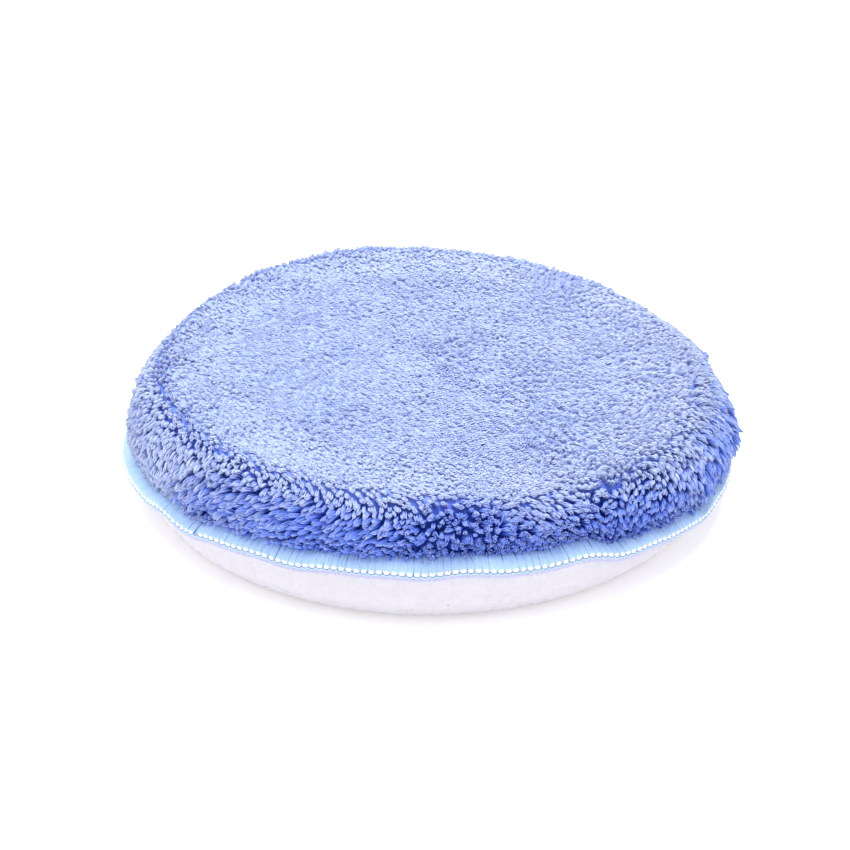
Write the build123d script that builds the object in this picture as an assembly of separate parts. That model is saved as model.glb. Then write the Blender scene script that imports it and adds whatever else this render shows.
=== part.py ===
from build123d import *
import os
from math import cos, hypot, radians, sin, sqrt

# Round sewn polishing pad, lying on its hook-and-loop face with the plush face up.
# Millimetres, +Z up, origin at the centre of the face it rests on.
# Every sub-part is turned about Z: the layers nest inside one another, face to face.

# ---- driving dimensions ----
PAD_R = 90.0            # outer edge of the overlocked seam: a 180 mm (7 inch) pad
PAD_HEIGHT = 43.0       # resting face to the tips of the pile at the crown
EDGE_Z = 17.0           # height of the cut edge of the two fabrics
FOAM_R = 82.0           # foam disc
FOAM_CORNER_TOP = 9.0   # rounding of the foam's upper corner
FOAM_CORNER_BOTTOM = 6.5  # rounding of its lower corner
FACE_T = 1.2            # knitted ground of the plush face
BACK_T = 1.2            # knitted ground of the loop backing
NAP_T = 0.8             # brushed loops under the backing
PILE_LENGTH = 8.0       # free length of the microfibre tufts at the crown
PILE_R = 88.5           # how far the tufts reach at the side
PILE_CORNER = 19.0      # rounding of the pile's shoulder
CROWN_R = 900.0         # slight doming of the plush face
SEAM_WIDTH = 5.6        # bite of the overlock stitch
SEAM_DROOP = 24.0       # degrees that the seam hangs below level
THREAD_T = 0.7          # thickness of the layer of looper thread
BEAD_T = 1.0            # thickness of the purled thread round the cut edge
NEEDLE_D = 0.5          # needle thread
GAP = 0.1               # air between the seam's threads and the pile above them

# ---- derived sizes ----
BACK_R = FOAM_R + BACK_T
NAP_R = BACK_R + NAP_T
FACE_R = FOAM_R + FACE_T
FOAM_BOTTOM_Z = NAP_T + BACK_T
FOAM_TOP_Z = PAD_HEIGHT - PILE_LENGTH - FACE_T
ALONG = (cos(radians(SEAM_DROOP)), -sin(radians(SEAM_DROOP)))    # outwards along the seam
ACROSS = (sin(radians(SEAM_DROOP)), cos(radians(SEAM_DROOP)))    # upwards through the seam
CUT_EDGE = (PAD_R - BEAD_T * ALONG[0] - (FACE_T + THREAD_T) * ACROSS[0], EDGE_Z)
SEAM_LINE = (CUT_EDGE[0] - SEAM_WIDTH * ALONG[0], CUT_EDGE[1] - SEAM_WIDTH * ALONG[1])


def seam_point(out, up):
    """Profile point measured along and across the seam from its sewing line."""
    return (
        SEAM_LINE[0] + out * ALONG[0] + up * ACROSS[0],
        SEAM_LINE[1] + out * ALONG[1] + up * ACROSS[1],
    )


def seam_at_radius(radius, up):
    """Profile point at a radius, on the line that runs a height above the seam's middle."""
    base = seam_point(0, up)
    out = (radius - base[0]) / ALONG[0]
    return (radius, base[1] + out * ALONG[1])


def arc_point(centre, radius, direction):
    """Point on a circle in a direction given by any vector."""
    size = hypot(direction[0], direction[1])
    return (centre[0] + radius * direction[0] / size, centre[1] + radius * direction[1] / size)


def dome(side_r, top_z, corner_r, crown_r):
    """Crown arc and tangent shoulder arc, from the axis out to the side; returns both and the end."""
    corner_x = side_r - corner_r
    crown_centre = (0, top_z - crown_r)
    corner_z = crown_centre[1] + sqrt((crown_r - corner_r) ** 2 - corner_x**2)
    corner_centre = (corner_x, corner_z)
    tangent = (corner_x, corner_z - crown_centre[1])
    join = arc_point(crown_centre, crown_r, tangent)
    crown_middle = arc_point(crown_centre, crown_r, (join[0] / 2, crown_r))
    shoulder_middle = arc_point(corner_centre, corner_r, (1, 1))
    end = (side_r, corner_z)
    crown = ThreePointArc((0, top_z), crown_middle, join)
    shoulder = ThreePointArc(join, shoulder_middle, end)
    return [crown, shoulder], end


def base(side_r, bottom_z, corner_r):
    """Flat bottom and rounded corner, from the axis out to the side; returns both and the end."""
    corner_centre = (side_r - corner_r, bottom_z + corner_r)
    start = (corner_centre[0], bottom_z)
    end = (side_r, corner_centre[1])
    middle = arc_point(corner_centre, corner_r, (1, -1))
    flat = Line((0, bottom_z), start)
    corner = ThreePointArc(start, middle, end)
    return [flat, corner], end


def turned(edges):
    """Closed profile in radius and height, turned about Z."""
    profile = Plane.XZ * make_face(edges)
    return revolve(profile, Axis.Z, 360)


def ring(out_start, out_end, up_start, up_end):
    """Band that follows the seam's slope all the way round."""
    corners = [
        seam_point(out_start, up_start),
        seam_point(out_end, up_start),
        seam_point(out_end, up_end),
        seam_point(out_start, up_end),
    ]
    return turned(Polyline(*corners, close=True))


def foam_core():
    """Soft foam disc with rounded corners and a slightly domed top."""
    top, top_end = dome(FOAM_R, FOAM_TOP_Z, FOAM_CORNER_TOP, CROWN_R)
    bottom, bottom_end = base(FOAM_R, FOAM_BOTTOM_Z, FOAM_CORNER_BOTTOM)
    side = Line(bottom_end, top_end)
    axis = Line((0, FOAM_BOTTOM_Z), (0, FOAM_TOP_Z))
    return turned(bottom + [side] + top + [axis])


def face_fabric():
    """Knitted ground of the plush: over the foam, down its side and out into the seam."""
    outer, outer_end = dome(FACE_R, FOAM_TOP_Z + FACE_T, FOAM_CORNER_TOP + FACE_T, CROWN_R + FACE_T)
    inner, inner_end = dome(FOAM_R, FOAM_TOP_Z, FOAM_CORNER_TOP, CROWN_R)
    flange_top = seam_at_radius(FACE_R, FACE_T)
    flange_root = seam_at_radius(FOAM_R, 0)
    rim = Polyline(outer_end, flange_top, seam_point(SEAM_WIDTH, FACE_T), seam_point(SEAM_WIDTH, 0),
                   flange_root, inner_end)
    axis = Line((0, FOAM_TOP_Z), (0, FOAM_TOP_Z + FACE_T))
    return turned(outer + [rim] + inner + [axis])


def microfibre_pile():
    """Envelope of the long plush tufts, from the crown down to the seam."""
    outer, outer_end = dome(PILE_R, PAD_HEIGHT, PILE_CORNER, CROWN_R)
    inner, inner_end = dome(FACE_R, FOAM_TOP_Z + FACE_T, FOAM_CORNER_TOP + FACE_T, CROWN_R + FACE_T)
    clear = FACE_T + THREAD_T + GAP
    rim = Polyline(outer_end, seam_at_radius(PILE_R, clear), seam_at_radius(FACE_R, clear), inner_end)
    axis = Line((0, FOAM_TOP_Z + FACE_T), (0, PAD_HEIGHT))
    return turned(outer + [rim] + inner + [axis])


def loop_backing():
    """Knitted ground of the backing: under the foam, up its side and out into the seam."""
    outer, outer_end = base(BACK_R, NAP_T, FOAM_CORNER_BOTTOM + BACK_T)
    inner, inner_end = base(FOAM_R, FOAM_BOTTOM_Z, FOAM_CORNER_BOTTOM)
    rim = Polyline(outer_end, seam_at_radius(BACK_R, -BACK_T), seam_point(SEAM_WIDTH, -BACK_T),
                   seam_point(SEAM_WIDTH, 0), seam_at_radius(FOAM_R, 0), inner_end)
    axis = Line((0, NAP_T), (0, FOAM_BOTTOM_Z))
    return turned(outer + [rim] + inner + [axis])


def loop_nap():
    """Brushed loops that a hook-faced backing plate grips; the pad rests on them."""
    outer, outer_end = base(NAP_R, 0, FOAM_CORNER_BOTTOM + BACK_T + NAP_T)
    inner, inner_end = base(BACK_R, NAP_T, FOAM_CORNER_BOTTOM + BACK_T)
    under_thread = -BACK_T - THREAD_T - GAP
    rim = Polyline(outer_end, seam_at_radius(NAP_R, under_thread), seam_at_radius(BACK_R, under_thread),
                   inner_end)
    axis = Line((0, 0), (0, NAP_T))
    return turned(outer + [rim] + inner + [axis])


def upper_looper_thread():
    """Thread laid side by side over the top of the seam, from the sewing line to the cut edge."""
    return ring(NEEDLE_D, SEAM_WIDTH, FACE_T, FACE_T + THREAD_T)


def lower_looper_thread():
    """Thread under the seam, turned up round the cut edge into a row of purls."""
    corners = [
        seam_at_radius(BACK_R, -BACK_T - THREAD_T),
        seam_point(SEAM_WIDTH + BEAD_T, -BACK_T - THREAD_T),
        seam_point(SEAM_WIDTH + BEAD_T, FACE_T + THREAD_T),
        seam_point(SEAM_WIDTH, FACE_T + THREAD_T),
        seam_point(SEAM_WIDTH, -BACK_T),
        seam_at_radius(BACK_R, -BACK_T),
    ]
    return turned(Polyline(*corners, close=True))


def needle_thread():
    """Row of needle stitches along the sewing line, on top of the face fabric."""
    return ring(0, NEEDLE_D, FACE_T, FACE_T + NEEDLE_D)


SUB_PARTS = [
    foam_core,
    face_fabric,
    microfibre_pile,
    loop_backing,
    loop_nap,
    upper_looper_thread,
    lower_looper_thread,
    needle_thread,
]

os.makedirs("parts", exist_ok=True)
for make in SUB_PARTS:
    export_step(make(), f"parts/{make.__name__}.step")
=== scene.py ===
"""Looks for a round sewn polishing pad: plush microfibre face, overlocked seam, brushed loop backing.

Everything is laid out round the Z axis first, and settle() then gives it the waves of the real pad.
"""
import math
from types import SimpleNamespace

import bpy
import numpy as np
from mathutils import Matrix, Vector


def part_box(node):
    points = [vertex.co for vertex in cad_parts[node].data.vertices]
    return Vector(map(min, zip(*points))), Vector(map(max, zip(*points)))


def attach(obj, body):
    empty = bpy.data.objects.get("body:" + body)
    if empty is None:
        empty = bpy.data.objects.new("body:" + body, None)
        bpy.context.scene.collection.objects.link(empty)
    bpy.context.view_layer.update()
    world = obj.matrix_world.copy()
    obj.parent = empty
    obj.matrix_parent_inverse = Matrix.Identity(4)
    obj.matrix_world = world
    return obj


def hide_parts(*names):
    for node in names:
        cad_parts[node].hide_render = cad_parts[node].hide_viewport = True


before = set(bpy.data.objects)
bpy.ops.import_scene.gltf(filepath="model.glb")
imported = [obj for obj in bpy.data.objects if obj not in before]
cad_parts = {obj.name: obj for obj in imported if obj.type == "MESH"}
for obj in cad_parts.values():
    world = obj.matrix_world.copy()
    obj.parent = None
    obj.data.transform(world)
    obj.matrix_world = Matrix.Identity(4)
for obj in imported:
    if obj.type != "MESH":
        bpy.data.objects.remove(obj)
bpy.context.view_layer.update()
MM = 0.001
TAU = 2 * math.pi
GOLDEN = math.pi * (3 - math.sqrt(5))

# ---- sizes read from the frame ----
foam_low, foam_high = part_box("foam_core")
face_low, face_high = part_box("face_fabric")
back_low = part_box("loop_backing")[0]
nap_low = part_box("loop_nap")[0]
pile_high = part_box("microfibre_pile")[1]
foam_r = foam_high.x
face_t = face_high.z - foam_high.z
back_t = foam_low.z - back_low.z
nap_t = back_low.z - nap_low.z
face_r = foam_r + face_t
back_r = foam_r + back_t
pile_length = pile_high.z - face_high.z
pad_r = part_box("lower_looper_thread")[1].x

# ---- the seam: a band that hangs a little below level ----
DROOP = math.radians(24)
edge_z = face_low.z
edge_r = face_high.x - face_t * math.sin(DROOP)
seam_r = face_r
seam_width = (edge_r - seam_r) / math.cos(DROOP)
seam_z = edge_z + seam_width * math.sin(DROOP)
STITCHES = 270
STITCH = TAU * pad_r / STITCHES
SEAM_START = round((360 - 136) / 360 * STITCHES)    # one purl is missing here, at the front left
BAND_R = 0.29 * MM        # one ply of the blue thread over the top
PURL_R = 0.345 * MM       # the white thread where it arches over the edge
BINDING_R = 0.19 * MM     # the fine blue thread under the purls
PASS_R = 0.31 * MM        # one ply of the pale thread under the seam
NEEDLE_R = 0.2 * MM

# ---- rounded corners and doming, as in the CAD solids ----
CORNER_TOP = 9 * MM
CORNER_BOTTOM = 6.5 * MM
CROWN_R = 900 * MM


# ================= curves and noise =================
def smooth(low, high, value):
    """0 below low, 1 above high, and an easy curve between them."""
    t = np.clip((value - low) / (high - low), 0, 1)
    return t * t * (3 - 2 * t)


def ripples(points, size, seed, count=7):
    """Smooth noise of about -1 to 1 at points, with features of about size."""
    rng = np.random.default_rng(seed)
    total = np.zeros(len(points))
    for _ in range(count):
        direction = rng.normal(size=3)
        direction *= TAU / size * rng.uniform(0.5, 1.1) / np.linalg.norm(direction)
        total += np.sin(points @ direction + rng.uniform(0, TAU))
    return total / math.sqrt(count)


def around(angle, centre, half_width):
    """1 where an angle is near a centre, in degrees, and 0 beyond its half width."""
    off = (np.degrees(angle) - centre + 180) % 360 - 180
    return smooth(0, 1, 1 - np.abs(off) / half_width)


def seam_wave(angle):
    """How far the edge of the pad stands above level, all the way round."""
    return MM * (
        -1.5
        - 4.3 * np.cos(2 * angle)
        + 1.7 * np.sin(2 * angle)
        + 1.0 * np.sin(4 * angle)
        + 1.0 * around(angle, -62, 9)
        - 1.0 * around(angle, -140, 9)
        + 0.35 * np.sin(17 * angle + 1.0)
        + 0.2 * np.sin(29 * angle)
    )


def settle(points):
    """Moves level points to where the used pad holds them: a wavy seam, and a top lower on the right."""
    points = np.array(points, float)
    x, y, z = points[..., 0], points[..., 1], points[..., 2]
    angle = np.arctan2(y, x)
    radius = np.hypot(x, y)
    near_edge = smooth(50 * MM, seam_r, radius)
    height = smooth(0, edge_z, z) * (1 - smooth(seam_z + 2 * MM, pile_high.z, z))
    lean = -3.0 * MM * np.sin(np.clip(x / (68 * MM), -1, 1) * math.pi / 2)
    points[..., 2] = z + seam_wave(angle) * near_edge * height + lean * smooth(seam_z, face_high.z, z)
    spread_left = 0.8 * MM * around(angle, 195, 70) * near_edge * height
    points[..., 0] = x + spread_left * np.cos(angle)
    points[..., 1] = y + spread_left * np.sin(angle)
    return points


def dome_profile(side_r, top_z, corner_r, crown_r, end_z):
    """Radius and height down a domed top with a rounded shoulder, from the axis to end_z on the side."""
    corner_x = side_r - corner_r
    crown_z = top_z - crown_r
    corner_z = crown_z + math.sqrt((crown_r - corner_r) ** 2 - corner_x**2)
    slope = math.atan2(corner_x, corner_z - crown_z)
    crown = np.linspace(0, slope, 60)
    shoulder = np.linspace(slope, math.pi / 2, 40)[1:]
    side = np.linspace(corner_z, end_z, 12)[1:]
    radius = [crown_r * np.sin(crown), corner_x + corner_r * np.sin(shoulder), np.full(len(side), side_r)]
    height = [crown_z + crown_r * np.cos(crown), corner_z + corner_r * np.cos(shoulder), side]
    return np.stack([np.concatenate(radius), np.concatenate(height)], axis=1)


def base_profile(side_r, bottom_z, corner_r, end_z):
    """Radius and height up a flat base with a rounded corner, from the axis to end_z on the side."""
    flat = np.linspace(0, side_r - corner_r, 60)
    corner = np.linspace(0, math.pi / 2, 30)[1:]
    side = np.linspace(bottom_z + corner_r, end_z, 8)[1:]
    radius = [flat, side_r - corner_r + corner_r * np.sin(corner), np.full(len(side), side_r)]
    height = [np.full(len(flat), bottom_z), bottom_z + corner_r * (1 - np.cos(corner)), side]
    return np.stack([np.concatenate(radius), np.concatenate(height)], axis=1)


def seam_profile(out, up):
    """Radius and height measured along the seam from its sewing line, and up through it."""
    out, up = np.asarray(out, float), np.asarray(up, float)
    radius = seam_r + out * math.cos(DROOP) + up * math.sin(DROOP)
    height = seam_z - out * math.sin(DROOP) + up * math.cos(DROOP)
    return radius, height


def round_z(radius, angle, height):
    """Points from radius, angle and height."""
    return np.stack(np.broadcast_arrays(radius * np.cos(angle), radius * np.sin(angle), height), axis=-1)


# ================= meshes =================
def new_mesh(name, points, faces, values=None):
    """Object from points and faces of one size each, in a list of index arrays."""
    mesh = bpy.data.meshes.new(name)
    sizes = np.concatenate([np.full(len(f), f.shape[1]) for f in faces])
    corners = np.concatenate([f.ravel() for f in faces])
    mesh.vertices.add(len(points))
    mesh.vertices.foreach_set("co", np.asarray(points, np.float32).ravel())
    mesh.loops.add(len(corners))
    mesh.loops.foreach_set("vertex_index", corners.astype(np.int32))
    mesh.polygons.add(len(sizes))
    mesh.polygons.foreach_set("loop_start", np.concatenate([[0], np.cumsum(sizes)[:-1]]).astype(np.int32))
    mesh.update(calc_edges=True)
    mesh.validate()
    mesh.shade_smooth()
    for key, value in (values or {}).items():
        layer = mesh.attributes.new(key, "FLOAT", "POINT")
        layer.data.foreach_set("value", np.asarray(value, np.float32))
    thing = bpy.data.objects.new(name, mesh)
    bpy.context.scene.collection.objects.link(thing)
    return thing


def soften(thing, facing, share):
    """Turns the shading of every fibre part of the way to that of the cloth under it."""
    mesh = thing.data
    own = np.empty(len(mesh.vertices) * 3, np.float32)
    mesh.vertex_normals.foreach_get("vector", own)
    mixed = unit(own.reshape(-1, 3) * (1 - share) + facing * share)
    mesh.normals_split_custom_set_from_vertices(mixed.tolist())
    return thing


def grid_faces(rows, columns):
    """Quads between the rows of a turned grid, which face out where the rows run down the outside."""
    row = np.arange(rows - 1)[:, None] * columns
    column = np.arange(columns)[None]
    after = (column + 1) % columns
    below = row + columns
    return np.stack([row + column, below + column, below + after, row + after], axis=-1).reshape(-1, 4)


def lathe(name, profile, columns=360):
    """A profile of radius and height turned about Z, and settled."""
    angle = np.arange(columns) * TAU / columns
    points = round_z(profile[:, :1], angle[None, :], profile[:, 1:]).reshape(-1, 3)
    thing = new_mesh(name, settle(points), [grid_faces(len(profile), columns)])
    weld(thing)
    return thing


def weld(thing):
    """Joins the points that lie together on the axis."""
    modifier = thing.modifiers.new("weld", "WELD")
    modifier.merge_threshold = 0.001 * MM
    apply_modifiers(thing)


def apply_modifiers(thing):
    """Bakes the modifiers of a piece into its mesh."""
    graph = bpy.context.evaluated_depsgraph_get()
    mesh = bpy.data.meshes.new_from_object(thing.evaluated_get(graph))
    thing.modifiers.clear()
    thing.data = mesh


def unit(vectors):
    """Vectors of length 1."""
    return vectors / np.maximum(np.linalg.norm(vectors, axis=-1, keepdims=True), 1e-12)


def tubes(paths, radii, sides=3):
    """Closed tubes along many paths at once: points, faces, and how far along each point is.

    paths is (tubes, rings, 3) and radii is (tubes or 1, rings).
    """
    count, rings = paths.shape[:2]
    ahead = unit(np.gradient(paths, axis=1))
    helper = np.where(np.abs(ahead[:, :1, 2:3]) < 0.8, [[[0, 0, 1.0]]], [[[1.0, 0, 0]]])
    side = unit(np.cross(ahead, helper))
    other = np.cross(ahead, side)
    turn = np.arange(sides) * TAU / sides
    size = np.broadcast_to(radii, (count, rings))[..., None, None]
    outward = side[:, :, None] * np.cos(turn)[:, None] + other[:, :, None] * np.sin(turn)[:, None]
    points = paths[:, :, None] + outward * size
    start = (np.arange(count) * rings * sides)[:, None, None]
    ring = (np.arange(rings - 1) * sides)[None, :, None]
    k = np.arange(sides)[None, None]
    a, b = start + ring + k, start + ring + (k + 1) % sides
    wall = np.stack([a, b, b + sides, a + sides], axis=-1).reshape(-1, 4)
    first = start[:, 0] + np.arange(sides)[None, ::-1]
    last = start[:, 0] + (rings - 1) * sides + np.arange(sides)[None]
    along = np.broadcast_to(np.linspace(0, 1, rings)[None, :, None], (count, rings, sides))
    return points.reshape(-1, 3), [wall, first, last], along.ravel()


# ================= materials =================
def material(name, base, roughness, sheen=0.0, sheen_tint=(1, 1, 1), specular=0.5):
    """A Principled material with its fixed values on its own sockets."""
    made = bpy.data.materials.new(name)
    made.use_nodes = True
    shader = made.node_tree.nodes["Principled BSDF"]
    shader.inputs["Base Color"].default_value = (*base, 1)
    shader.inputs["Roughness"].default_value = roughness
    shader.inputs["Sheen Weight"].default_value = sheen
    shader.inputs["Sheen Roughness"].default_value = 0.45
    shader.inputs["Sheen Tint"].default_value = (*sheen_tint, 1)
    shader.inputs["Specular IOR Level"].default_value = specular
    return made, made.node_tree, shader


def add(tree, kind, **inputs):
    """A node with its inputs set by name."""
    made = tree.nodes.new(kind)
    for key, value in inputs.items():
        made.inputs[key.replace("_", " ")].default_value = value
    return made


def ramp(tree, factor, stops):
    """Colour ramp over (place, colour) stops."""
    made = tree.nodes.new("ShaderNodeValToRGB")
    elements = made.color_ramp.elements
    while len(elements) < len(stops):
        elements.new(0.5)
    for element, (place, colour) in zip(elements, stops):
        element.position = place
        element.color = (*colour, 1)
    tree.links.new(factor, made.inputs["Fac"])
    return made.outputs["Color"]


def blotches(tree, scale, detail=2.0):
    """Noise in the object's own coordinates."""
    place = tree.nodes.new("ShaderNodeTexCoord")
    noise = add(tree, "ShaderNodeTexNoise", Scale=scale, Detail=detail)
    tree.links.new(place.outputs["Object"], noise.inputs["Vector"])
    return noise.outputs["Fac"]


def tinted(tree, colour, factor, low, high):
    """A colour made darker and lighter by a factor between two shares."""
    share = add(tree, "ShaderNodeMapRange", To_Min=low, To_Max=high, From_Min=0.3, From_Max=0.7)
    tree.links.new(factor, share.inputs["Value"])
    made = tree.nodes.new("ShaderNodeVectorMath")
    made.operation = "SCALE"
    tree.links.new(colour, made.inputs[0])
    tree.links.new(share.outputs["Result"], made.inputs["Scale"])
    return made.outputs["Vector"]


def bump(tree, shader, height, strength, distance):
    """Surface relief from a height."""
    made = add(tree, "ShaderNodeBump", Strength=strength, Distance=distance)
    tree.links.new(height, made.inputs["Height"])
    tree.links.new(made.outputs["Normal"], shader.inputs["Normal"])


def pile_material():
    """Split microfibre: deep blue at the root, where painted shade stands for the shade deep in the pile, and
    pale where the tips spread, partly painted light on the lit tips.
    """
    made, tree, shader = material("microfibre", (0.3, 0.4, 0.85), 0.6, 0.08, (0.70, 0.80, 1.0), 0.12)
    along = tree.nodes.new("ShaderNodeAttribute")
    along.attribute_name = "along"
    # Painted shade and light: the ramp darkens towards the roots for the shade deep in the pile, and lightens
    # towards the tips partly for the light falling on them.
    colour = ramp(tree, along.outputs["Fac"], [
        (0.0, (0.020, 0.060, 0.43)),
        (0.32, (0.068, 0.145, 0.65)),
        (0.60, (0.195, 0.300, 0.83)),
        (0.80, (0.400, 0.478, 0.77)),
        (1.0, (0.500, 0.575, 0.785)),
    ])
    colour = tinted(tree, colour, blotches(tree, 1500), 0.93, 1.06)
    tree.links.new(colour, shader.inputs["Base Color"])
    return made


def thread_material(name, base, dark, sheen, far_end_painted_shade=1.0):
    """Textured multifilament thread: fine streaks and slight fuzz, and a deeper tone towards its far end,
    which is painted shade out in the full light, while the start, in the pile's shadow, stays lighter as
    painted light.
    """
    made, tree, shader = material(name, base, 0.6, sheen, (0.9, 0.95, 1.0), 0.15)
    streaks = blotches(tree, 2600, 3.0)
    colour = ramp(tree, streaks, [(0.3, dark), (0.6, base)])
    # Painted light and shade: lighter near the start of the thread, in the pile's shadow, and darker at its
    # far end, in full light.
    if far_end_painted_shade < 1:
        along = tree.nodes.new("ShaderNodeAttribute")
        along.attribute_name = "along"
        colour = tinted(tree, colour, along.outputs["Fac"], 1.0, far_end_painted_shade)
    tree.links.new(colour, shader.inputs["Base Color"])
    bump(tree, shader, streaks, 0.5, 0.15 * MM)
    return made


def knit_material(name, base, dark):
    """Plain knitted ground: small uneven stitches."""
    made, tree, shader = material(name, base, 0.85, 0.2)
    place = tree.nodes.new("ShaderNodeTexCoord")
    cells = add(tree, "ShaderNodeTexVoronoi", Scale=900.0, Randomness=0.5)
    tree.links.new(place.outputs["Object"], cells.inputs["Vector"])
    colour = ramp(tree, cells.outputs["Distance"], [(0.15, base), (0.6, dark)])
    tree.links.new(colour, shader.inputs["Base Color"])
    bump(tree, shader, cells.outputs["Distance"], 0.6, 0.2 * MM)
    return made


def foam_material():
    """Open-cell foam."""
    made, tree, shader = material("open_cell_foam", (0.80, 0.78, 0.70), 0.9)
    place = tree.nodes.new("ShaderNodeTexCoord")
    cells = add(tree, "ShaderNodeTexVoronoi", Scale=1100.0)
    tree.links.new(place.outputs["Object"], cells.inputs["Vector"])
    colour = ramp(tree, cells.outputs["Distance"], [(0.1, (0.55, 0.52, 0.44)), (0.5, (0.82, 0.80, 0.73))])
    tree.links.new(colour, shader.inputs["Base Color"])
    bump(tree, shader, cells.outputs["Distance"], 0.8, 0.4 * MM)
    return made


def loop_material():
    """White brushed loops with a trace of lilac."""
    made, tree, shader = material("brushed_loops", (0.86, 0.86, 0.92), 0.5, 0.3, (1, 1, 1), 0.5)
    colour = ramp(tree, blotches(tree, 700, 3.0), [(0.3, (0.605, 0.59, 0.645)), (0.65, (0.64, 0.625, 0.68))])
    tree.links.new(colour, shader.inputs["Base Color"])
    return made


def floor_material():
    """Plain white studio floor, softly lit from below as well as from above."""
    made, _, shader = material("studio_floor", (0.92, 0.92, 0.92), 0.9)
    shader.inputs["Emission Color"].default_value = (1.0, 0.968, 0.975, 1)
    shader.inputs["Emission Strength"].default_value = 0.27
    return made


# ================= spreading things over a turned surface =================
JITTER = 0.35


def length_along(profile):
    """How far each point of a profile is along it."""
    step = np.diff(profile, axis=0)
    return np.concatenate([[0], np.cumsum(np.hypot(step[:, 0], step[:, 1]))])


def spread(profile, pitch_in, pitch_out, rng):
    """Even places over a turned profile: radius, height, normal, angle, place along it and its length."""
    length = length_along(profile)
    end = length[-1]
    fine = np.linspace(0, end, 2000)
    radius = np.interp(fine, length, profile[:, 0])
    height = np.interp(fine, length, profile[:, 1])
    pitch = pitch_in + (pitch_out - pitch_in) * smooth(0.55 * end, 0.85 * end, fine)
    each = TAU * radius / pitch**2
    number = np.concatenate([[0], np.cumsum((each[1:] + each[:-1]) / 2 * np.diff(fine))])
    count = int(number[-1])
    at = np.interp(np.arange(count) + 0.5, number, fine)
    angle = np.arange(count) * GOLDEN
    pitch = np.interp(at, fine, pitch)
    at = np.clip(at + rng.uniform(-JITTER, JITTER, count) * pitch, 0, end)
    here = np.interp(at, fine, radius)
    angle = angle + rng.uniform(-JITTER, JITTER, count) * pitch / np.maximum(here, pitch)
    slope_r = np.interp(at, fine, np.gradient(radius, fine))
    slope_z = np.interp(at, fine, np.gradient(height, fine))
    return here, np.interp(at, fine, height), (-slope_z, slope_r), angle, at, end


# ================= the pile =================
CROWN_PITCH = 1.42 * MM
WALL_PITCH = 1.34 * MM
CROWN_STRANDS = 7
WALL_STRANDS = 9
CROWN_SECTORS = 8
SHOULDER_SECTORS = 12
SIDES = 3
MOST_FOLD = math.radians(84)
STRAY_R = 0.075 * MM

# ---- a strand, ring by ring from root to tip ----
RING_AT = np.array([0, 0.42, 0.70, 0.91, 1.0])
RINGS = len(RING_AT)
LEAF = np.array([0.35, 0.75, 1.0, 0.92, 0.42])
BRUSH = np.array([0.50, 0.85, 1.05, 1.15, 1.15])
TAPER = np.array([0.8, 1.0, 1.05, 0.90, 0.38])
BLUNT_TAPER = np.array([0, 0, 0, 0.12, 0.10])


def nap(points):
    """Which way the tufts of the crown lie: towards the front, and more to the right on the right."""
    turn = smooth(-50 * MM, 60 * MM, points[:, 0]) + 0.12 * ripples(points, 50 * MM, 11)
    heading = np.radians(-66 + 18 * turn)
    flat = 1.0 - 0.30 * turn
    return np.stack([np.cos(heading) * flat, np.sin(heading) * flat, np.zeros(len(points))], axis=1)


def tousle(points):
    """Uneven lie of a used pile: broad sweeps, and small spots."""
    broad = np.stack([ripples(points, 15 * MM, seed) for seed in (21, 22, 23)], axis=1)
    small = np.stack([ripples(points, 4.5 * MM, seed) for seed in (24, 25, 26)], axis=1)
    return broad * 0.15 + small * 0.08


def plant_tufts(surface, rng):
    """Where every tuft stands, the cloth's directions there, and how far it is from the seam."""
    profile = dome_profile(*surface)
    radius, height, (n_r, n_z), angle, at, end = spread(profile, CROWN_PITCH, WALL_PITCH, rng)
    normal = unit(round_z(np.abs(n_r), angle, np.abs(n_z)))
    leftward = np.stack([np.sin(angle), -np.cos(angle), np.zeros(len(angle))], axis=1)
    down = np.cross(normal, leftward)
    down *= np.sign(-down[:, 2:] + 1e-9)
    return SimpleNamespace(
        root=round_z(radius, angle, height),
        angle=angle,
        normal=normal,
        leftward=leftward,
        down=down,
        from_seam=end - at,
        crown=end - at > end * 0.36,
        steep=np.abs(n_r) / np.hypot(n_r, n_z),
    )


def zone_tufts(tufts):
    """Adds how far each tuft belongs to the crown, by its painted top light and by its lie, and to the wall's
    zones.
    """
    angle, steep = tufts.angle, tufts.steep
    edge = 0.52 + 0.16 * ripples(tufts.root, 30 * MM, 12) + 0.45 * around(angle, 195, 65)
    # Painted light: tufts on the flatter top are painted lighter, this edge pushed further down on the right
    # and left walls and pulled up at the front shoulder, as the overhead light falls.
    pale_edge = edge + 0.28 * around(angle, -5, 60) - 0.15 * around(angle, -85, 40)
    pale_edge += 0.35 * around(angle, 195, 60)
    tufts.pale = 1 - smooth(pale_edge - 0.35, pale_edge + 0.55, steep)
    edge = edge - 0.24 * around(angle, -38, 46)
    tufts.on_crown = 1 - smooth(edge - 0.45, edge + 0.42, steep)
    tufts.low = 1 - smooth(1.5 * MM, 6 * MM, tufts.from_seam)
    tufts.stub = around(angle, -72, 34)
    tufts.blunt = np.maximum(0.35 * tufts.on_crown, tufts.stub)


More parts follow.
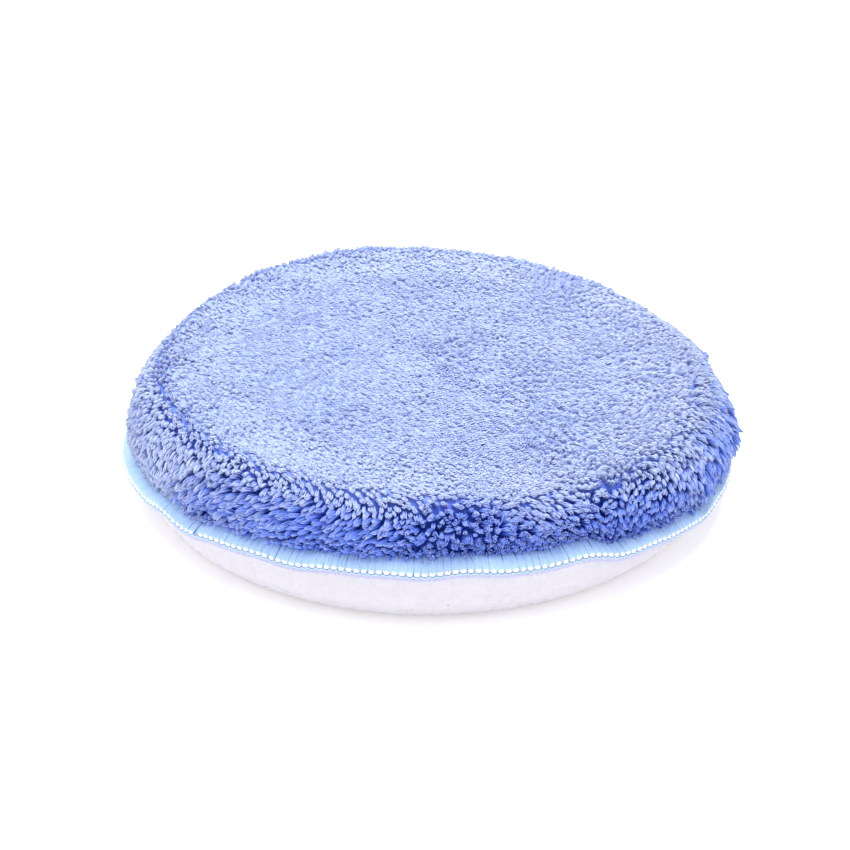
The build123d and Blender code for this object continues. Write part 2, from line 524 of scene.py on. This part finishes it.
def bend_tufts(tufts, rng):
    """Which way every tuft leans over the cloth, and how much.

    The wall is swept to the left at the front left and on the right, and stands out between them.
    """
    angle, on_crown, low = tufts.angle, tufts.on_crown[:, None], tufts.low[:, None]
    swept = 0.95 * around(angle, -112, 36) + 1.15 * around(angle, -34, 44) + 0.2 * around(angle, 90, 120)
    hang = 0.35 + 0.45 * around(angle, -40, 60) + 0.7 * around(angle, 10, 60) + 0.2 * around(angle, -150, 60)
    hang -= 0.75 * tufts.stub
    wall = tufts.down * (hang[:, None] - 0.75 * low) + tufts.leftward * swept[:, None] * (1 - 0.5 * low)
    over = tufts.down * 0.8 * smooth(0.2, 0.7, tufts.steep[:, None])
    lean = (nap(tufts.root) + over) * on_crown + wall * (1 - on_crown)
    lean = lean + tousle(tufts.root) * (1 - 0.6 * on_crown)
    lean = lean + rng.normal(size=lean.shape) * (0.06 + 0.18 * (1 - on_crown))
    return lean - tufts.normal * (lean * tufts.normal).sum(1)[:, None]


def tuft_lengths(tufts, rng):
    """Free length of every tuft: short by the seam and round the back, long on the right."""
    angle, steep, on_crown = tufts.angle, tufts.steep, tufts.on_crown
    reach = 0.97 - 0.42 * tufts.low + 0.24 * around(angle, 5, 62) * smooth(0.4, 0.9, steep)
    reach -= 0.10 * tufts.stub * smooth(0.5, 0.9, steep)
    reach -= 0.22 * around(angle, 38, 62) * smooth(0.15, 0.6, steep)
    reach -= 0.38 * around(angle, 135, 95) * smooth(0.15, 0.6, steep)
    length = pile_length * reach * (1 + (0.07 - 0.055 * on_crown) * ripples(tufts.root, 12 * MM, 31))
    return length * (1 + rng.uniform(-0.11, 0.10, len(length)) * (1 - 0.7 * on_crown))


def tuft_spines(tufts):
    """The middle line of every tuft: it stands up from its root and then folds over."""
    fold = np.minimum(np.linalg.norm(tufts.bend, axis=1), 1.0) * MOST_FOLD
    middle = (RING_AT[1:] + RING_AT[:-1]) / 2
    tilt = fold[:, None] * middle[None] ** 1.4
    step = tufts.length[:, None] * np.diff(RING_AT)[None]
    start = np.zeros((len(fold), 1))
    rise = np.concatenate([start, np.cumsum(np.cos(tilt) * step, axis=1)], axis=1)
    run = np.concatenate([start, np.cumsum(np.sin(tilt) * step, axis=1)], axis=1)
    up = tufts.normal[:, None] * rise[..., None]
    return tufts.root[:, None] + up + unit(tufts.bend)[:, None] * run[..., None]


def strand_paths(tufts, rng):
    """The strands of every tuft, one in the middle and a ring of them round it: a leaf or a blunt brush."""
    count = len(tufts.root)
    on_crown, blunt = tufts.on_crown[:, None], tufts.blunt[:, None]
    spine = tuft_spines(tufts)
    across = unit(np.cross(tufts.normal, tufts.bend + rng.normal(size=(count, 3)) * 0.2))
    beside = unit(np.cross(spine[:, 3] - spine[:, 1], across))
    tip_way = unit(spine[:, 4] - spine[:, 3])
    width = rng.uniform(0.42, 0.58, count) * MM * np.where(tufts.crown, 1.25, 1.0)
    swell = (LEAF * (1 - blunt) + BRUSH * blunt)[:, :, None]
    ring_count = np.where(tufts.crown, CROWN_STRANDS, WALL_STRANDS) - 1
    paths = []
    for k in range(WALL_STRANDS):
        turn = TAU * k / ring_count + rng.uniform(-0.35, 0.35, count)
        spoke = across * np.cos(turn)[:, None] + beside * np.sin(turn)[:, None]
        spoke = spoke * width[:, None] * rng.uniform(0.7, 1.2, (count, 1)) * (k > 0)
        longer = rng.uniform(-0.12, 0.04, (count, 1)) * (1 - 0.6 * on_crown) - 0.05 * on_crown * (k > 0)
        longer = longer * tufts.length[:, None]
        paths.append(spine + swell * spoke[:, None] + (longer * tip_way)[:, None] * RING_AT[:, None])
    return np.stack(paths, axis=1)


def strand_sizes(tufts, rng):
    """Radius of every strand, ring by ring."""
    taper = TAPER + BLUNT_TAPER * tufts.blunt[:, None, None]
    own = rng.uniform(0.85, 1.15, (len(tufts.root), WALL_STRANDS, 1))
    return np.where(tufts.crown, 0.205, 0.215)[:, None, None] * MM * taper * own


def strand_tones(tufts, rng):
    """How much lighter or darker than the rest each strand is."""
    count = len(tufts.root)
    tones = rng.uniform(-0.10, 0.10, (count, 1)) + rng.normal(size=(count, WALL_STRANDS)) * 0.05
    return tones * (1 - 0.6 * tufts.on_crown[:, None])


def pile_sector(name, tufts, chosen, strands):
    """One piece of the pile: the chosen tufts, with this many strands each."""
    path = tufts.paths[chosen, :strands].reshape(-1, RINGS, 3)
    size = tufts.sizes[chosen, :strands].reshape(-1, RINGS)
    points, faces, along = tubes(settle(path), size, SIDES)
    tuft_points = strands * RINGS * SIDES
    top_light_share = np.repeat(tufts.pale[chosen], tuft_points)
    tone = np.repeat(tufts.tones[chosen, :strands].ravel(), RINGS * SIDES)
    # Painted light: tufts on the lit top get a lighter colour along their length.
    along = 0.70 * along + top_light_share * (0.50 - 0.24 * along) + tone * np.sin(along * math.pi / 2)
    piece = new_mesh(name, points, faces, {"along": along})
    share = (0.38 - 0.10 * top_light_share)[:, None]
    return soften(piece, np.repeat(tufts.normal[chosen], tuft_points, axis=0), share)


def make_pile(surface):
    """The whole plush: tufts in sectors of the crown and shoulder, the mass under them, and stray fibres."""
    rng = np.random.default_rng(3)
    tufts = plant_tufts(surface, rng)
    zone_tufts(tufts)
    tufts.bend = bend_tufts(tufts, rng)
    tufts.length = tuft_lengths(tufts, rng)
    tufts.paths = strand_paths(tufts, rng)
    tufts.sizes = strand_sizes(tufts, rng)
    tufts.tones = strand_tones(tufts, rng)
    zones = (
        ("crown", tufts.crown, CROWN_SECTORS, CROWN_STRANDS),
        ("shoulder", ~tufts.crown, SHOULDER_SECTORS, WALL_STRANDS),
    )
    pieces = []
    for zone, inside, sectors, strands in zones:
        sector = np.floor((tufts.angle % TAU) / TAU * sectors)
        for s in range(sectors):
            pieces.append(pile_sector(f"pile_{zone}_{s + 1}", tufts, inside & (sector == s), strands))
    pieces.append(under_pile(surface))
    pieces.append(stray_fibres(tufts, rng))
    return pieces


def under_pile(surface):
    """The dense mass of fibres between the tufts: deep on the crown, shallow down the wall, and painted
    darker down the wall as shade in the gaps between the tufts.
    """
    profile = dome_profile(*surface)
    length = length_along(profile)
    fine = np.linspace(0, length[-1], 150)
    radius, height = np.interp(fine, length, profile[:, 0]), np.interp(fine, length, profile[:, 1])
    slope = unit(np.stack([-np.gradient(height), np.gradient(radius)], axis=1))
    columns = 620
    angle = np.arange(columns) * TAU / columns
    crown = 1 - smooth(0.05, 0.90, slope[:, 0])
    depth = pile_length * (0.20 + 0.48 * crown) * smooth(0, 4 * MM, fine[-1] - fine)
    level = round_z(radius[:, None], angle[None], height[:, None]).reshape(-1, 3)
    grain = 0.25 * MM * ripples(level, 2.5 * MM, 41, 12) * np.repeat(depth > 1 * MM, columns)
    out = np.repeat(depth, columns) + grain
    push = round_z(slope[:, :1], angle[None], slope[:, 1:]).reshape(-1, 3)
    # Painted shade: the mass is coloured deep blue down the wall, where the gaps are shaded, and paler on the
    # crown.
    tone = 0.10 + 0.60 * np.repeat(crown**0.75, columns)
    faces = grid_faces(len(fine), columns)
    return new_mesh("pile_under", settle(level + push * out[:, None]), [faces], {"along": tone})


def stray_fibres(tufts, rng):
    """Single fine fibres that stand clear of the tufts, in the fringe above the seam."""
    share = np.where(tufts.from_seam < 3.5 * MM, 0.9, 0.0)
    chosen = rng.random(len(tufts.root)) < share
    root, normal, bend = tufts.root[chosen], tufts.normal[chosen], tufts.bend[chosen]
    length = tufts.length[chosen] * rng.uniform(0.80, 1.05, len(root))
    count = len(root)
    t = np.linspace(0, 1, 6)[None, :, None]
    curl = rng.normal(size=(count, 1, 3)) * 0.42
    second = rng.normal(size=(count, 1, 3)) * 0.18
    path = root[:, None] + length[:, None, None] * (
        normal[:, None] * (t - 0.3 * t * t)
        + (bend[:, None] * 0.75 + curl) * t * t
        + second * np.sin(t * 5)
    )
    beyond = np.hypot(path[..., 0], path[..., 1]) - seam_r
    band = seam_z + face_t + 0.2 * MM - 0.45 * beyond
    path[..., 2] = np.where(beyond > 0, np.maximum(path[..., 2], band), path[..., 2])
    size = STRAY_R * np.array([1, 1, 1, 1, 0.9, 0.5])[None]
    points, faces, along = tubes(settle(path), size)
    return new_mesh("pile_stray_fibres", points, faces, {"along": 0.50 + 0.35 * along})


# ================= the seam =================
def seam_path(angles, out, up, slide):
    """Paths for every stitch: out and up are along the seam's profile, slide is along its edge, in metres."""
    radius, height = seam_profile(out, up)
    angle = angles[:, None] + np.asarray(slide) / pad_r
    return round_z(radius, angle, height)


def stitch_angles():
    """Where each stitch of the seam is, round the pad."""
    return np.arange(STITCHES) * TAU / STITCHES


def upper_threads(rng):
    """Blue thread over the top of the seam: each stitch fans out from the sewing line to the edge."""
    angles = stitch_angles()
    angles[SEAM_START] += 0.35 * TAU / STITCHES
    angles[SEAM_START + 1] += 0.20 * TAU / STITCHES
    out = np.array([-0.05, 0.12, 0.3, 0.5, 0.7, 0.88, 1.0, 1.0]) * seam_width
    out[-2:] += [0.30 * MM, 0.55 * MM]
    up = face_t + np.array([0.10, 0.42, 0.56, 0.60, 0.56, 0.45, 0.20, -0.40]) * MM
    paths = []
    for ply in (-2, -1, 0, 1, 2):
        start = ply * STITCH * 0.175 + rng.uniform(-0.22, 0.22, (STITCHES, 1)) * MM
        stop = ply * STITCH * 0.18 + rng.uniform(-0.07, 0.07, (STITCHES, 1)) * MM
        mix = np.linspace(0, 1, len(out))[None] ** 0.8
        slide = start * (1 - mix) + stop * mix + 0.10 * MM * np.sin(mix * 8 + ply * 2 + angles[:, None] * 40)
        lift = up[None] + (rng.uniform(-0.14, 0.14, (STITCHES, 1)) - 0.12 * (abs(ply) > 1)) * MM
        paths.append(seam_path(angles, out[None], lift, slide))
    paths = np.concatenate(paths)
    size = BAND_R * np.array([0.85, 0.95, 1.0, 1.05, 1.08, 1.05, 0.95, 0.7])[None]
    points, faces, along = tubes(settle(paths), size, sides=6)
    band = new_mesh("upper_looper_passes", points, faces, {"along": along})
    facing = points * [1, 1, 0]
    facing = unit(unit(facing) * math.sin(DROOP) + [0, 0, math.cos(DROOP)])
    return soften(band, facing, 0.55)


def purls(rng):
    """White purls: at each stitch the thread arches over the edge, and both its ends dive under."""
    angles = np.delete(stitch_angles(), SEAM_START)
    along = np.linspace(-1, 1, 9)[None]
    arch = np.sqrt(np.clip(1 - (along * 0.98) ** 2, 0, 1))
    paths = []
    for out_by, rise, span in ((0.35, 0.80, 0.41), (0.62, 0.42, 0.27)):
        wobble = rng.uniform(-0.07, 0.07, (len(angles), 1)) * MM
        out = seam_width + out_by * MM + wobble
        up = face_t + (-0.52 + rise * arch) * MM + wobble
        paths.append(seam_path(angles, out, up, along * span * STITCH))
    paths = np.concatenate(paths)
    size = PURL_R * (0.30 + 0.70 * arch)
    points, faces, _ = tubes(settle(paths), size, sides=8)
    return new_mesh("lower_looper_purls", points, faces)


def edge_binding():
    """Fine blue thread that runs along under the purls."""
    count = STITCHES * 8
    angle = np.arange(count + 1) * TAU / count
    wave = np.cos(angle * STITCHES)
    radius, height = seam_profile(seam_width + (0.98 + 0.05 * wave) * MM, face_t + (-0.70 - 0.14 * wave) * MM)
    path = settle(round_z(radius, angle, height))[None]
    points, faces, along = tubes(path, np.full((1, count + 1), BINDING_R), sides=5)
    # Its fixed along value gives this thread most of the painted shade that the blue thread gets at its far
    # end.
    return new_mesh("upper_looper_edge", points, faces, {"along": np.full(len(along), 0.6)})


def lower_threads(rng):
    """White thread from the purls round the rolled edge and back under the seam to the sewing line."""
    out = np.array([0.30, 0.72, 0.80, 0.55, -0.15, -1.2, -2.4, -3.8, -5.0]) * MM + seam_width
    up = np.array([0.75, 0.20, -0.65, -1.45, -2.05, -2.25, -2.20, -2.05, -1.70]) * MM
    paths = []
    plies = 5
    for ply in range(plies):
        shift = (ply - (plies - 1) / 2) * STITCH / plies + rng.uniform(-0.05, 0.05, (STITCHES, 1)) * MM
        slant = np.linspace(0, 1, len(out))[None] * STITCH * 0.25
        depth = rng.uniform(-0.05, 0.05, (STITCHES, 1)) * MM - 0.10 * MM * (ply == 0)
        paths.append(seam_path(stitch_angles(), out[None] + depth, up[None] - depth, shift + slant))
    paths = np.concatenate(paths)
    size = PASS_R * np.array([0.8, 1, 1.05, 1.05, 1.05, 1, 1, 1, 0.7])[None]
    points, faces, _ = tubes(settle(paths), size, sides=5)
    return new_mesh("lower_looper_passes", points, faces)


def needle_row():
    """Needle stitches along the sewing line, above, with small loops of the same thread below."""
    angles = stitch_angles()
    slide = np.linspace(-0.46, 0.46, 7)[None] * STITCH
    arch = 1 - np.linspace(-1, 1, 7)[None] ** 4
    above = seam_path(angles, 0.25 * MM, face_t - 0.2 * MM + 0.4 * MM * arch, slide)
    below = seam_path(angles, 0.55 * MM, -back_t + 0.1 * MM - 0.75 * MM * arch, slide * 0.5)
    paths = settle(np.concatenate([above, below]))
    points, faces, _ = tubes(paths, np.full((1, 7), NEEDLE_R), sides=5)
    return new_mesh("needle_stitches", points, faces)


# ================= the backing =================
LOOP_PITCH = 1.10 * MM
LOOP_RINGS = 5
LOOP_SECTORS = 5
LOOP_R = 0.145 * MM


def loop_bed(profile):
    """The felted bed that the loops make between their crests."""
    columns = 700
    angle = np.arange(columns) * TAU / columns
    slope = unit(np.stack([np.gradient(profile[:, 1]), -np.gradient(profile[:, 0])], axis=1))
    level = round_z(profile[:, :1], angle[None], profile[:, 1:]).reshape(-1, 3)
    push = round_z(slope[:, :1], angle[None], slope[:, 1:]).reshape(-1, 3)
    ease = np.repeat(smooth(0, 4, np.arange(len(profile))[::-1]), columns)
    out = nap_t * (0.56 * ease + 0.05 * ripples(level, 1.6 * MM, 43, 12) * ease)
    outside = grid_faces(len(profile), columns)[:, [0, 3, 2, 1]]
    return new_mesh("loop_bed", settle(level + push * out[:, None]), [outside])


def make_loops():
    """Brushed loops over the whole backing, flattened where the pad rests."""
    rng = np.random.default_rng(8)
    end_z = float(seam_profile(1.2 * MM, -back_t - 0.7 * MM)[1])
    profile = base_profile(back_r, back_low.z, CORNER_BOTTOM + back_t, end_z)
    radius, height, (n_r, n_z), angle, _, _ = spread(profile, LOOP_PITCH, LOOP_PITCH, rng)
    foot = round_z(radius, angle, height)
    normal = unit(round_z(np.abs(n_r), angle, -np.abs(n_z)))
    sideways = np.stack([-np.sin(angle), np.cos(angle), np.zeros(len(angle))], axis=1)
    downward = np.cross(sideways, normal)
    count = len(foot)
    turn = np.where(rng.random(count) < 0.5, 1, -1) * math.pi / 4 + rng.normal(size=count) * 0.35
    along = sideways * np.cos(turn)[:, None] + downward * np.sin(turn)[:, None]
    tip = unit(normal + rng.normal(size=(count, 3)) * 0.35)
    swing = np.linspace(0, math.pi, LOOP_RINGS)[None, :, None]
    tall = rng.uniform(0.50, 0.75, count)[:, None, None] * (nap_t - 0.08 * MM)
    half = rng.uniform(0.36, 0.56, count)[:, None, None] * MM
    paths = foot[:, None] - along[:, None] * np.cos(swing) * half + tip[:, None] * np.sin(swing) * tall
    pieces = [loop_bed(profile)]
    sector = np.floor((angle % TAU) / TAU * LOOP_SECTORS)
    for s in range(LOOP_SECTORS):
        points, faces, _ = tubes(settle(paths[sector == s]), np.full((1, LOOP_RINGS), LOOP_R), SIDES)
        points[:, 2] = np.maximum(points[:, 2], nap_low.z)
        piece = new_mesh(f"loop_nap_{s + 1}", points, faces)
        pieces.append(soften(piece, np.repeat(normal[sector == s], LOOP_RINGS * SIDES, axis=0), 0.9))
    return pieces


# ================= assembly =================
def dress(thing, finish, node):
    """Gives a piece its material and its body, and hides the CAD node that it stands for."""
    thing.data.materials.append(finish)
    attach(thing, "root")
    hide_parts(node)


def make_foam():
    """The foam disc, a hair inside the fabrics."""
    shy = 0.15 * MM
    top = dome_profile(foam_r - shy, foam_high.z - shy, CORNER_TOP, CROWN_R, seam_z)
    bottom = base_profile(foam_r - shy, foam_low.z + shy, CORNER_BOTTOM, seam_z)
    foam = lathe("foam_disc", np.concatenate([top, bottom[-2::-1]]))
    dress(foam, foam_material(), "foam_core")


def make_sheet(name, profile, finish, node):
    """A sewn cloth disc, stretched over the foam and caught in the seam."""
    sheet = lathe(name, profile)
    dress(sheet, finish, node)


def make_seam():
    """Every thread of the overlocked seam."""
    rng = np.random.default_rng(5)
    # Painted shade: 0.86 is the blue thread's colour share at its far end, out in the full light.
    blue = thread_material("blue_thread", (0.52, 0.725, 1.0), (0.42, 0.635, 1.0), 0.0, 0.86)
    white = thread_material("white_thread", (0.80, 0.83, 0.90), (0.66, 0.71, 0.84), 0.2)
    # Painted shade: the lower looper's passes under the seam are the same white thread as its purls, given a
    # dimmer, more lilac colour for the shade under the seam's edge.
    shaded_white = thread_material("white_thread_shaded", (0.465, 0.475, 0.66), (0.43, 0.44, 0.63), 0.05)
    needle = thread_material("sewing_thread", (0.16, 0.34, 0.78), (0.07, 0.18, 0.55), 0.2)
    dress(upper_threads(rng), blue, "upper_looper_thread")
    dress(edge_binding(), blue, "upper_looper_thread")
    dress(purls(rng), white, "lower_looper_thread")
    dress(lower_threads(rng), shaded_white, "lower_looper_thread")
    dress(needle_row(), needle, "needle_thread")


def face_profile(surface):
    """The plush's ground: over the dome, out along the seam, and turned in at the cut edge."""
    rim = [seam_profile(out, face_t) for out in np.linspace(0.2, 1, 6) * seam_width]
    turn_in = [seam_profile(seam_width, face_t * 0.05)]
    return np.concatenate([dome_profile(*surface), np.array(rim + turn_in, float)])


def backing_profile():
    """The backing's ground: over the base, out along the seam, and turned in at the cut edge."""
    rim = [seam_profile(out, -back_t) for out in np.linspace(0.3, 1, 6) * seam_width]
    turn_in = [seam_profile(seam_width, -back_t * 0.05)]
    under = base_profile(back_r, back_low.z, CORNER_BOTTOM + back_t, float(rim[0][1]) - 0.3 * MM)
    return np.concatenate([under, np.array(rim + turn_in, float)])


def build():
    """All the pieces of the pad."""
    face_knit = knit_material("face_ground", (0.10, 0.19, 0.66), (0.05, 0.11, 0.50))
    back_knit = knit_material("backing_ground", (0.90, 0.89, 0.95), (0.86, 0.85, 0.92))
    fibre, loops = pile_material(), loop_material()
    surface = (face_r, face_high.z, CORNER_TOP + face_t, CROWN_R + face_t, seam_z + face_t)
    pile = make_pile(surface)
    for piece in pile:
        dress(piece, fibre, "microfibre_pile")
    nap_pieces = make_loops()
    for piece in nap_pieces:
        dress(piece, loops, "loop_nap")
    make_seam()
    make_foam()
    make_sheet("face_ground", face_profile(surface), face_knit, "face_fabric")
    make_sheet("backing_ground", backing_profile(), back_knit, "loop_backing")


# ================= studio =================
FLOOR_HALF = 4.0
FLOOR_DROP = 0.2 * MM     # a hair under the pad, so that the two surfaces don't fight
SURROUND = 0.95
LAMP_PLACE = (-0.06, 0.02, 1.1)
LAMP_WIDTH, LAMP_DEPTH = 1.0, 0.8
LAMP_WATTS = 16.5
VIEW_ELEVATION = math.radians(29)
VIEW_DISTANCE = 0.90
VIEW_AIM = Vector((-1.0 * MM, 0, 17 * MM))
LENS = 129.2


def studio():
    """White floor, a large soft light overhead and an even white surround."""
    scene = bpy.context.scene
    scene.view_settings.view_transform = "Standard"
    corners = FLOOR_HALF * np.array([[-1, -1, 0], [1, -1, 0], [1, 1, 0], [-1, 1, 0]])
    floor = new_mesh("floor", corners - [0, 0, FLOOR_DROP], [np.array([[0, 1, 2, 3]])])
    floor.data.materials.append(floor_material())
    world = bpy.data.worlds.new("surround")
    world.use_nodes = True
    world.node_tree.nodes["Background"].inputs["Color"].default_value = (1, 1, 1, 1)
    world.node_tree.nodes["Background"].inputs["Strength"].default_value = SURROUND
    scene.world = world
    lamp = bpy.data.lights.new("overhead", "AREA")
    lamp.shape = "RECTANGLE"
    lamp.size, lamp.size_y = LAMP_WIDTH, LAMP_DEPTH
    lamp.energy = LAMP_WATTS
    holder = bpy.data.objects.new("overhead", lamp)
    holder.location = LAMP_PLACE
    holder.rotation_euler = (Vector((0, 0, 0)) - holder.location).to_track_quat("-Z", "Y").to_euler()
    scene.collection.objects.link(holder)


def camera():
    """A long lens in front of the pad, well above level."""
    back = Vector((0, -math.cos(VIEW_ELEVATION), math.sin(VIEW_ELEVATION)))
    lens = bpy.data.cameras.new("camera")
    lens.sensor_width = 36
    lens.lens = LENS
    lens.clip_start, lens.clip_end = 0.05, 50
    holder = bpy.data.objects.new("camera", lens)
    holder.location = VIEW_AIM + back * VIEW_DISTANCE
    holder.rotation_mode = "QUATERNION"
    holder.rotation_quaternion = (-back).to_track_quat("-Z", "Y")
    bpy.context.scene.collection.objects.link(holder)
    bpy.context.scene.camera = holder


camera()
studio()
build()
